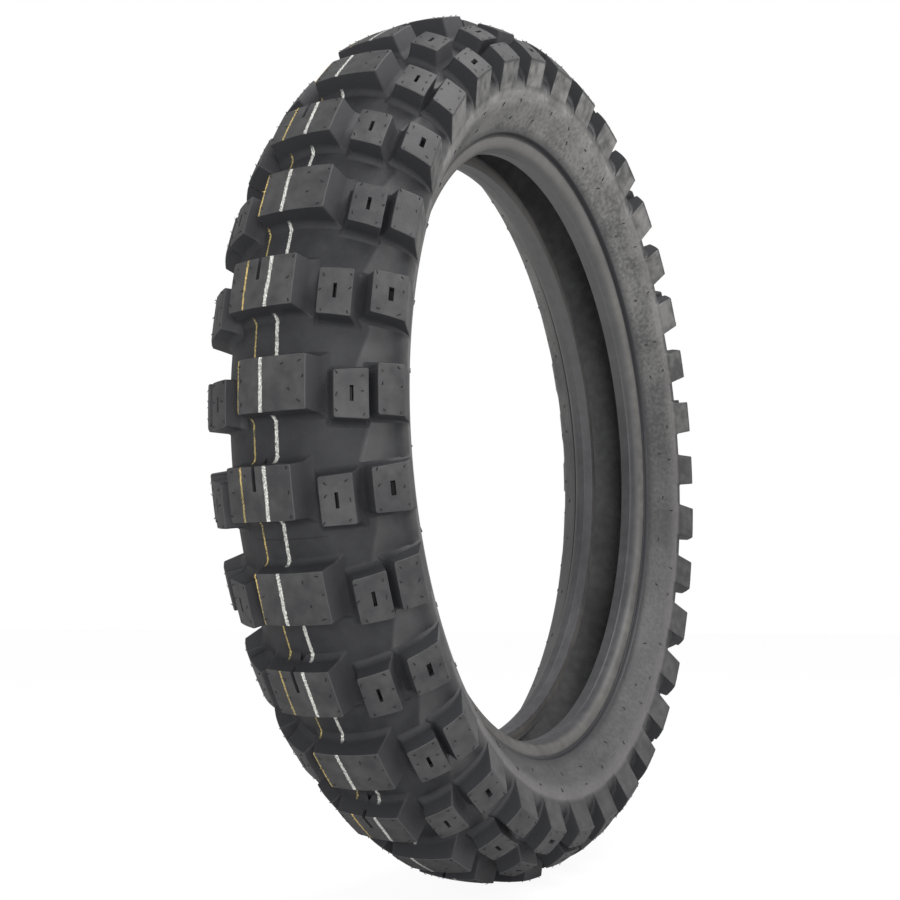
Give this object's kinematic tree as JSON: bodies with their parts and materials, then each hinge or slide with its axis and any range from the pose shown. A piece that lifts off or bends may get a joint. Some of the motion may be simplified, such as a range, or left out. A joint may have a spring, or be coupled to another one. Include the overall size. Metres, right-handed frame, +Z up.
{
  "type": "off-road motorcycle tyre",
  "caption": "Knobby off-road motorcycle tyre for an 18-inch rim, with offset block pairs, slotted side knobs, a corded casing and wire beads.",
  "frame": {"origin": "wheel centre: on the axle line, midway between the beads", "axes": "+Y along the axle towards the tyre's left side, +Z up with the tyre standing on its tread, +X forward"},
  "size_m": [0.658, 0.1372, 0.6578],
  "materials": {
    "tread_rubber": "moulded matt rubber",
    "sidewall_rubber": "moulded satin rubber",
    "liner_rubber": "smooth rubber",
    "ply_cord": "rubber-coated cord",
    "chafer_fabric": "rubber-coated square weave",
    "filler_rubber": "hard rubber",
    "bead_steel": "plated wire"
  },
  "bodies": {
    "root": {"inner_liner": "liner_rubber", "carcass_ply_inner": "ply_cord", "carcass_ply_outer": "ply_cord", "breaker_ply_inner": "ply_cord", "breaker_ply_outer": "ply_cord", "tread_base": "tread_rubber", "centre_blocks_a": "tread_rubber", "centre_blocks_b": "tread_rubber", "mid_knobs_a_right": "tread_rubber", "mid_knobs_a_left": "tread_rubber", "mid_knobs_b_right": "tread_rubber", "mid_knobs_b_left": "tread_rubber", "shoulder_knobs_a_right": "tread_rubber", "shoulder_knobs_a_left": "tread_rubber", "shoulder_knobs_b_right": "tread_rubber", "shoulder_knobs_b_left": "tread_rubber", "sidewall_left": "sidewall_rubber", "rim_strip_left": "sidewall_rubber", "chafer_left": "chafer_fabric", "bead_filler_left": "filler_rubber", "bead_core_left": "filler_rubber", "bead_wires_left": "bead_steel", "sidewall_right": "sidewall_rubber", "rim_strip_right": "sidewall_rubber", "chafer_right": "chafer_fabric", "bead_filler_right": "filler_rubber", "bead_core_right": "filler_rubber", "bead_wires_right": "bead_steel"}
  },
  "joints": []
}
